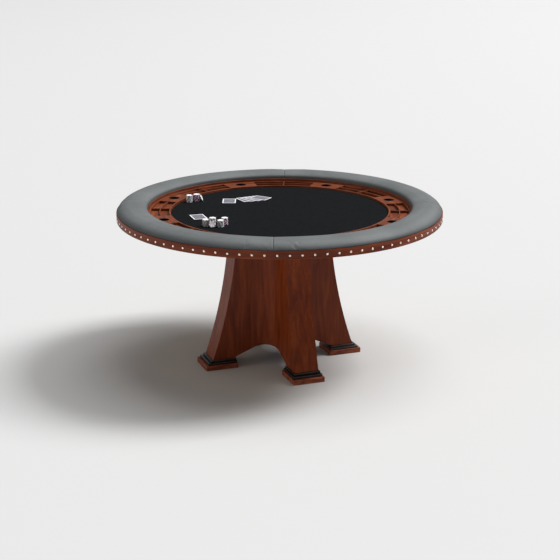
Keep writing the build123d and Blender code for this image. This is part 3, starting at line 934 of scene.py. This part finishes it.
@dataclass
class NailRow:
    """Domed upholstery nails round the apron."""

    plating: bpy.types.Material
    nails: int = 90
    first_bearing: float = -88.65
    height: float = 707 * MM
    head: float = 4.8 * MM
    dome: float = 1.95 * MM
    dome_steps: int = 6
    rim_share: float = 0.12
    foot_share: float = 0.97
    seat: float = 0.2 * MM
    sides: int = 20

    def build(self, apron_radius: float) -> None:
        """Build every nail head.

        Args:
            apron_radius: outer radius of the apron that the heads sit on.
        """
        profile = [(0.0, self.dome)]
        for step in range(1, self.dome_steps + 1):
            bend = math.pi / 2 * step / self.dome_steps
            rise = self.rim_share + (1 - self.rim_share) * math.cos(bend)
            profile.append((self.head * math.sin(bend), self.dome * rise))
        profile += [(self.head * self.foot_share, 0.0), (0.0, -self.seat)]
        mesh = bmesh.new()
        for index in range(self.nails):
            bearing = math.radians(self.first_bearing + index * 360 / self.nails)
            where = (
                Matrix.Rotation(bearing, 4, "Z")
                @ Matrix.Translation((apron_radius, 0, self.height))
                @ Matrix.Rotation(math.pi / 2, 4, "Y")
            )
            turn_profile(mesh, profile, self.sides, where)
        make_piece("nail_heads", mesh, [self.plating], "table", ("apron_nails",))


@dataclass
class FootMouldings:
    """The black two-step mouldings under the legs, each step with a rounded upper edge."""

    lacquer: bpy.types.Material
    leg_bearings: tuple[float, ...] = (-67.5, 22.5, 112.5, 202.5)
    corner: float = 2.5 * MM
    least_corner: float = 0.4 * MM
    corner_steps: int = 4
    edge: float = 3.2 * MM
    edge_steps: int = 5
    steps: tuple[tuple[float, float, float, float, float], ...] = (
        (23.5, 34.2, 234.5, 374.0, 69.0),
        (34.2, 45.0, 237.5, 361.0, 63.5),
    )

    def build(self) -> None:
        """Build the mouldings of all four feet as one piece."""
        mesh = bmesh.new()
        for bearing in self.leg_bearings:
            turn = Matrix.Rotation(math.radians(bearing), 4, "Z")
            for low, high, inner, outer, half_width in self.steps:
                middle, reach = (inner + outer) / 2 * MM, (outer - inner) / 2 * MM
                levels = [(low * MM, 0.0)]
                for step in range(self.edge_steps + 1):
                    bend = math.pi / 2 * step / self.edge_steps
                    drop, inset = self.edge * (1 - math.sin(bend)), self.edge * (1 - math.cos(bend))
                    levels.append((high * MM - drop, inset))
                rings = []
                for height, inset in levels:
                    corner = max(self.corner - inset, self.least_corner)
                    sizes = (reach - inset, half_width * MM - inset, corner, self.corner_steps)
                    rings.append([
                        mesh.verts.new(turn @ Vector((middle + point.x, point.y, height)))
                        for point in rounded_rectangle(*sizes)
                    ])
                for ring, above in zip(rings, rings[1:]):
                    bridge(mesh, ring, above)
                mesh.faces.new(rings[-1])
                mesh.faces.new(list(reversed(rings[0])))
        piece = make_piece("foot_steps", mesh, [self.lacquer], "table", ("foot_mouldings",))
        piece.data.polygons.foreach_set("use_smooth", [len(p.vertices) == 4 for p in piece.data.polygons])


@dataclass(frozen=True)
class ChipStyle:
    """Materials of one kind of chip: its body, its edge spots and its inlay."""

    body: bpy.types.Material
    spots: bpy.types.Material
    inlay: bpy.types.Material


@dataclass
class ChipStack:
    """A stack of poker chips, each a separate turned disc with edge spots and a round inlay."""

    node: str
    place: tuple[float, float]
    styles: list[ChipStyle]
    leaning: ChipStyle | None = None
    lean_bearing: float = 0.0
    radius: float = 15 * MM
    thickness: float = 3.35 * MM
    pitch: float = 3.4 * MM
    lean: float = 68.0
    dish: float = 0.15 * MM
    dish_share: float = 0.66
    inlay_share: float = 0.70
    edge: float = 0.5 * MM
    chamfer: tuple[float, float] = (0.15, 0.3)
    sides: int = 48
    spots: int = 6
    spot_span: float = 22.5
    lean_gap: float = 1 * MM
    slip: float = 0.5 * MM
    slip_rate: tuple[float, float] = (3.7, 0.1)
    slip_turns: float = 3.0

    def add_chip(self, mesh: bmesh.types.BMesh, where: Matrix, first: int) -> None:
        """Add one chip, its bottom on the placement's origin.

        Args:
            mesh: mesh that receives it.
            where: the chip's placement.
            first: material index of its body; spots and inlay follow.
        """
        before = len(mesh.faces)
        r, t = self.radius, self.thickness
        dish, soft = self.dish, self.edge
        half = [(0.0, dish), (r * self.dish_share, dish), (r * self.inlay_share, 0.0), (r - soft, 0.0)]
        half.append((r - self.chamfer[0] * soft, self.chamfer[1] * soft))
        top = [(radius, t - height) for radius, height in reversed(half)]
        turn_profile(mesh, half + [(r, soft), (r, t - soft)] + top, self.sides, where)
        mesh.faces.ensure_lookup_table()
        inverse = where.inverted()
        for face in mesh.faces[before:]:
            centre = inverse @ face.calc_center_median()
            turn = math.degrees(math.atan2(centre.y, centre.x)) % (360 / self.spots)
            reach = math.hypot(centre.x, centre.y)
            if reach < r * self.inlay_share:
                face.material_index = first + 2
            else:
                face.material_index = first + (1 if turn < self.spot_span else 0)

    def build(self) -> None:
        """Build the stack and the chip that leans on it."""
        base = Vector((self.place[0] * MM, self.place[1] * MM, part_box(self.node)[0].z))
        mesh = bmesh.new()
        used = []
        level_rate, place_rate = self.slip_rate
        field_place = [value * place_rate for value in self.place]
        for level, style in enumerate(self.styles):
            if style not in used:
                used.append(style)
            x, y, spin = (
                noise.noise(Vector((level * level_rate + layer, *field_place))) for layer in SLIP_LAYERS
            )
            shift = Vector((self.slip * x, self.slip * y, level * self.pitch))
            turn = Matrix.Rotation(math.tau * spin * self.slip_turns, 4, "Z")
            where = Matrix.Translation(base + shift) @ turn
            self.add_chip(mesh, where, 3 * used.index(style))
        if self.leaning:
            if self.leaning not in used:
                used.append(self.leaning)
            tilt = math.radians(self.lean)
            reach = self.radius + self.lean_gap + self.radius * math.cos(tilt) + self.thickness
            rise = self.radius * math.sin(tilt) + self.thickness
            bearing = math.radians(self.lean_bearing)
            where = (
                Matrix.Translation(base + Vector((0, 0, rise)))
                @ Matrix.Rotation(bearing, 4, "Z")
                @ Matrix.Translation((reach, 0, 0))
                @ Matrix.Rotation(tilt, 4, "Y")
                @ Matrix.Translation((0, 0, -self.thickness))
            )
            self.add_chip(mesh, where, 3 * used.index(self.leaning))
        materials = [material for style in used for material in (style.body, style.spots, style.inlay)]
        name = self.node.replace("chips", "stack")
        make_piece(name, mesh, materials, self.node + "_set", (self.node,))


@dataclass
class CardHand:
    """Playing cards lying face down, slightly bowed from handling."""

    node: str
    cards: list[tuple[float, float, float]]
    stock: bpy.types.Material
    print_face: bpy.types.Material
    length: float = 88 * MM
    width: float = 63 * MM
    corner: float = 3.5 * MM
    corner_steps: int = 4
    margin: float = 5 * MM
    thickness: float = 0.3 * MM
    layer: float = 0.4 * MM
    bow: float = 0.35 * MM

    def add_card(self, mesh: bmesh.types.BMesh, where: Matrix, lift: float) -> None:
        """Add one card as a thin rounded sheet with a printed middle.

        Args:
            mesh: mesh that receives it.
            where: the card's placement, its bottom on the origin.
            lift: how much its ends curl up.
        """
        uv = mesh.loops.layers.uv.verify()
        before = len(mesh.faces)
        half = Vector((self.length / 2, self.width / 2))
        border = rounded_rectangle(half.x, half.y, self.corner, self.corner_steps)
        inner = rounded_rectangle(half.x - self.margin, half.y - self.margin, 0.0, self.corner_steps)

        def level(point: Vector) -> float:
            """Height of the bowed sheet at a point."""
            return lift * (point.x / half.x) ** 2

        def ring(points: list[Vector], base: float) -> list[bmesh.types.BMVert]:
            """Add a ring of vertices at a height above the sheet's own level."""
            return [mesh.verts.new(where @ Vector((p.x, p.y, base + level(p)))) for p in points]

        top, bottom = ring(border, self.thickness), ring(border, 0.0)
        corners = ring(inner[:: self.corner_steps + 1], self.thickness)
        print_edge = [corner for corner in corners for _ in range(self.corner_steps + 1)]
        bridge(mesh, bottom, top)
        bridge(mesh, top, print_edge)
        mesh.faces.new(list(reversed(bottom)))
        mesh.faces.new(corners).material_index = 1
        mesh.faces.ensure_lookup_table()
        inverse = where.inverted()
        for face in mesh.faces[before:]:
            for loop in face.loops:
                loop[uv].uv = (inverse @ loop.vert.co).xy

    def build(self) -> None:
        """Build the cards of this group."""
        low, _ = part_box(self.node)
        mesh = bmesh.new()
        for number, (x, y, bearing) in enumerate(self.cards):
            where = Matrix.Translation((x * MM, y * MM, low.z + number * self.layer))
            where = where @ Matrix.Rotation(math.radians(bearing), 4, "Z")
            self.add_card(mesh, where, 0.0 if number else self.bow)
        name = self.node.replace("card", "playing_card")
        materials = [self.stock, self.print_face]
        piece = make_piece(name, mesh, materials, self.node + "_set", (self.node,))
        piece.data.polygons.foreach_set("use_smooth", [False] * len(piece.data.polygons))


def direction(bearing: float, elevation: float) -> Vector:
    """Unit vector toward a place in the sky.

    Args:
        bearing: degrees from +X, counter-clockwise from above.
        elevation: degrees above the horizon.

    Returns:
        The vector.
    """
    turn, rise = math.radians(bearing), math.radians(elevation)
    return Vector((math.cos(turn) * math.cos(rise), math.sin(turn) * math.cos(rise), math.sin(rise)))


@dataclass(frozen=True)
class Panel:
    """One soft light: where it hangs as seen from the table, in degrees, its size and its power."""

    name: str
    bearing: float
    elevation: float
    width: float
    height: float
    power: float


@dataclass
class Studio:
    """A pale floor, a key light from the right and behind, a broad overhead panel and a weak fill."""

    floor_radius: float = 150.0
    floor_sides: int = 96
    light_distance: float = 80.0
    panels: tuple[Panel, ...] = (
        Panel("key_softbox", 19.0, 51.0, 24.0, 30.0, 7.4e4),
        Panel("overhead_panel", 30.0, 75.0, 60.0, 60.0, 3.9e4),
        Panel("low_left_fill", 205.0, 10.0, 36.0, 10.0, 1.4e4),
    )
    fill: float = 0.26
    look_at: tuple[float, float, float] = (0.0016, 0.0001, 0.3802)
    camera_distance: float = 6.444
    camera_bearing: float = -87.9
    camera_elevation: float = 16.64
    lens: float = 88.50
    sensor: float = 36.0
    farthest: float = 1000.0

    def build_floor(self) -> None:
        """Lay the floor, a wide painted disc."""
        mesh = bmesh.new()
        bmesh.ops.create_circle(mesh, cap_ends=True, segments=self.floor_sides, radius=self.floor_radius)
        data = bpy.data.meshes.new("studio_floor")
        mesh.to_mesh(data)
        mesh.free()
        data.materials.append(FloorPaint("matt_floor_paint").build())
        floor = bpy.data.objects.new("studio_floor", data)
        bpy.context.scene.collection.objects.link(floor)

    def build_lights(self) -> None:
        """Hang the panels and set the fill."""
        for panel in self.panels:
            toward = direction(panel.bearing, panel.elevation)
            lamp = bpy.data.lights.new(panel.name, "AREA")
            lamp.shape = "RECTANGLE"
            lamp.size, lamp.size_y, lamp.energy = panel.width, panel.height, panel.power
            light = bpy.data.objects.new(panel.name, lamp)
            light.location = toward * self.light_distance
            light.rotation_euler = (-toward).to_track_quat("-Z", "Y").to_euler()
            bpy.context.scene.collection.objects.link(light)
        world = bpy.data.worlds.new("studio_fill")
        world.use_nodes = True
        background = world.node_tree.nodes["Background"]
        background.inputs["Color"].default_value = linear("#FFFFFF")
        background.inputs["Strength"].default_value = self.fill
        bpy.context.scene.world = world
        bpy.context.scene.view_settings.view_transform = "Standard"

    def build_camera(self) -> None:
        """Set the camera."""
        back = direction(self.camera_bearing, self.camera_elevation)
        data = bpy.data.cameras.new("camera")
        data.lens, data.sensor_width = self.lens, self.sensor
        data.clip_end = self.farthest
        camera = bpy.data.objects.new("camera", data)
        camera.location = Vector(self.look_at) + back * self.camera_distance
        camera.rotation_euler = (-back).to_track_quat("-Z", "Y").to_euler()
        bpy.context.scene.collection.objects.link(camera)
        bpy.context.scene.camera = camera

    def build(self) -> None:
        """Build floor, lights and camera."""
        self.build_camera()
        self.build_floor()
        self.build_lights()


def dress(node: str, material: bpy.types.Material) -> None:
    """Give a CAD node its finish.

    Args:
        node: name of the CAD node.
        material: its finish.
    """
    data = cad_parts[node].data
    data.materials.clear()
    data.materials.append(material)
    LOG.info("%s dressed as %s", node, material.name)


@dataclass
class Pedestal:
    """The crossed pedestal: leg faces, coved panels, the panel under the arch, and the core inside."""

    veneer: bpy.types.Material
    plinth: bpy.types.Material
    timber: bpy.types.Material
    legs: int = 4

    def dress(self) -> None:
        """Dress the shell in veneer, the plinths in their own veneer and the core in bare timber."""
        for leg in range(1, self.legs + 1):
            dress(f"leg_face_{leg}", self.veneer)
            dress(f"cove_panel_{leg}", self.veneer)
            dress(f"plinth_{leg}", self.plinth)
        dress("arch_soffit", self.veneer)
        dress("centre_post", self.timber)
        dress("corner_blocks", self.timber)


@dataclass
class Ironwork:
    """Levellers under the plinths, and the bolts and screws that hold the table together."""

    zinc: bpy.types.Material
    levellers: int = 4

    def dress(self) -> None:
        """Dress the steel parts."""
        dress("fasteners", self.zinc)
        for leveller in range(1, self.levellers + 1):
            dress(f"leveller_{leveller}", self.zinc)


@dataclass
class TableTop:
    """The boards that carry the top, and the veneered apron bent round their edge."""

    veneer: bpy.types.Material
    plywood: bpy.types.Material

    def dress(self) -> None:
        """Dress the apron in veneer and leave the boards as plywood."""
        dress("apron_ring", self.veneer)
        for board in ("mounting_plate", "deck_board", "rail_base", "play_board"):
            dress(board, self.plywood)


@dataclass
class Racetrack:
    """The wooden ring between cloth and rail, with a chip tray at each seat and cups between."""

    veneer: bpy.types.Material
    liner: bpy.types.Material
    seats: int = 8

    def dress(self) -> None:
        """Dress the ring's bands, blocks and trays in veneer, and the cup liners in plastic."""
        for band in ("rail_liner", "track_lip", "cup_blocks"):
            dress(band, self.veneer)
        for seat in range(1, self.seats + 1):
            dress(f"chip_tray_{seat}", self.veneer)
            dress(f"cup_liner_{seat}", self.liner)


def main() -> None:
    """Build the studio, then the table from the floor up, then what lies on it."""
    logging.basicConfig(level=logging.INFO, format="%(name)s: %(message)s")
    Studio().build()

    upright = LacqueredWood("cherry_veneer_upright", "#602308", "#76300C", "#863D13", GrainRun.UPRIGHT)
    bent = LacqueredWood("cherry_veneer_bent", "#58200C", "#703014", "#85401F", GrainRun.ROUND_THE_TABLE)
    plinth = LacqueredWood("cherry_plinth", "#682A16", "#884630", "#A05A40", GrainRun.ALONG_X)
    track = LacqueredWood(
        "cherry_racetrack", "#562613", "#723920", "#884A2B", GrainRun.ROUND_THE_TABLE, figure_mm=18.0
    )
    plywood = RawWood("birch_plywood", "#C9A97C", "#A98355")
    timber = RawWood("sawn_pine", "#D2B282", "#B08A58", GrainRun.UPRIGHT, 16.0)
    zinc = PlatedMetal("zinc_plated_steel", "#C4C6C8", "#8E9092", (0.25, 0.42))
    nail = PlatedMetal("nickel_plated_nail", "#FFF4EA", "#F0D2BE", (0.32, 0.5)).build()
    black_lacquer = PaintedWood("black_lacquer").build()
    liner = MouldedPlastic("black_abs_liner", "#08080A", "#141416", (0.30, 0.45))

    Pedestal(upright.build(), plinth.build(), timber.build()).dress()
    Ironwork(zinc.build()).dress()
    TableTop(bent.build(), plywood.build()).dress()
    Racetrack(track.build(), liner.build()).dress()

    FootMouldings(black_lacquer).build()
    PaddedRail(SoftVinyl("grey_upholstery_vinyl").build()).build()
    PlayingField(PlayingCloth("black_card_cloth").build()).build()
    NailRow(nail).build(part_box("apron_ring")[1].x)

    white = MouldedPlastic("white_clay_composite", "#F2F0F2", "#D8D4D8").build()
    grey = MouldedPlastic("grey_clay_composite", "#8E908E", "#74767A").build()
    purple = MouldedPlastic("purple_clay_composite", "#7C1462", "#8E3078").build()
    pale_chip = ChipStyle(white, grey, white)
    grey_chip = ChipStyle(grey, white, white)
    purple_chip = ChipStyle(purple, white, white)
    ChipStack("chips_far_left", (-434, 168), [grey_chip, pale_chip] * 5).build()
    ChipStack("chips_far_right", (-402, 189), [purple_chip] * 9 + [pale_chip], pale_chip, 0.0).build()
    ChipStack("chips_near_left", (-316, -286), [grey_chip] * 8 + [pale_chip]).build()
    mixed = [purple_chip, grey_chip, pale_chip] * 4
    ChipStack("chips_near_tall", (-285, -294), mixed, pale_chip, -90.0).build()
    ChipStack("chips_near_right", (-250, -296), [grey_chip] * 8 + [pale_chip]).build()
    ChipStack("chips_near_back", (-235, -251), [purple_chip] * 8 + [pale_chip]).build()

    stock = MouldedPlastic("coated_card_stock", "#E8E6EA", "#DCDADF", (0.3, 0.4)).build()
    back = PrintedCard("printed_card_back").build()
    CardHand("card_left", [(-364, -120, -69.0)], stock, back).build()
    CardHand("card_middle", [(-247, 196, 92.1)], stock, back).build()
    fan = [(-170, 232, 122.0), (-147, 241, 131.7), (-124, 250, 141.3), (-101, 260, 151.0)]
    CardHand("card_fan", fan, stock, back).build()


if __name__ == "__main__":
    main()
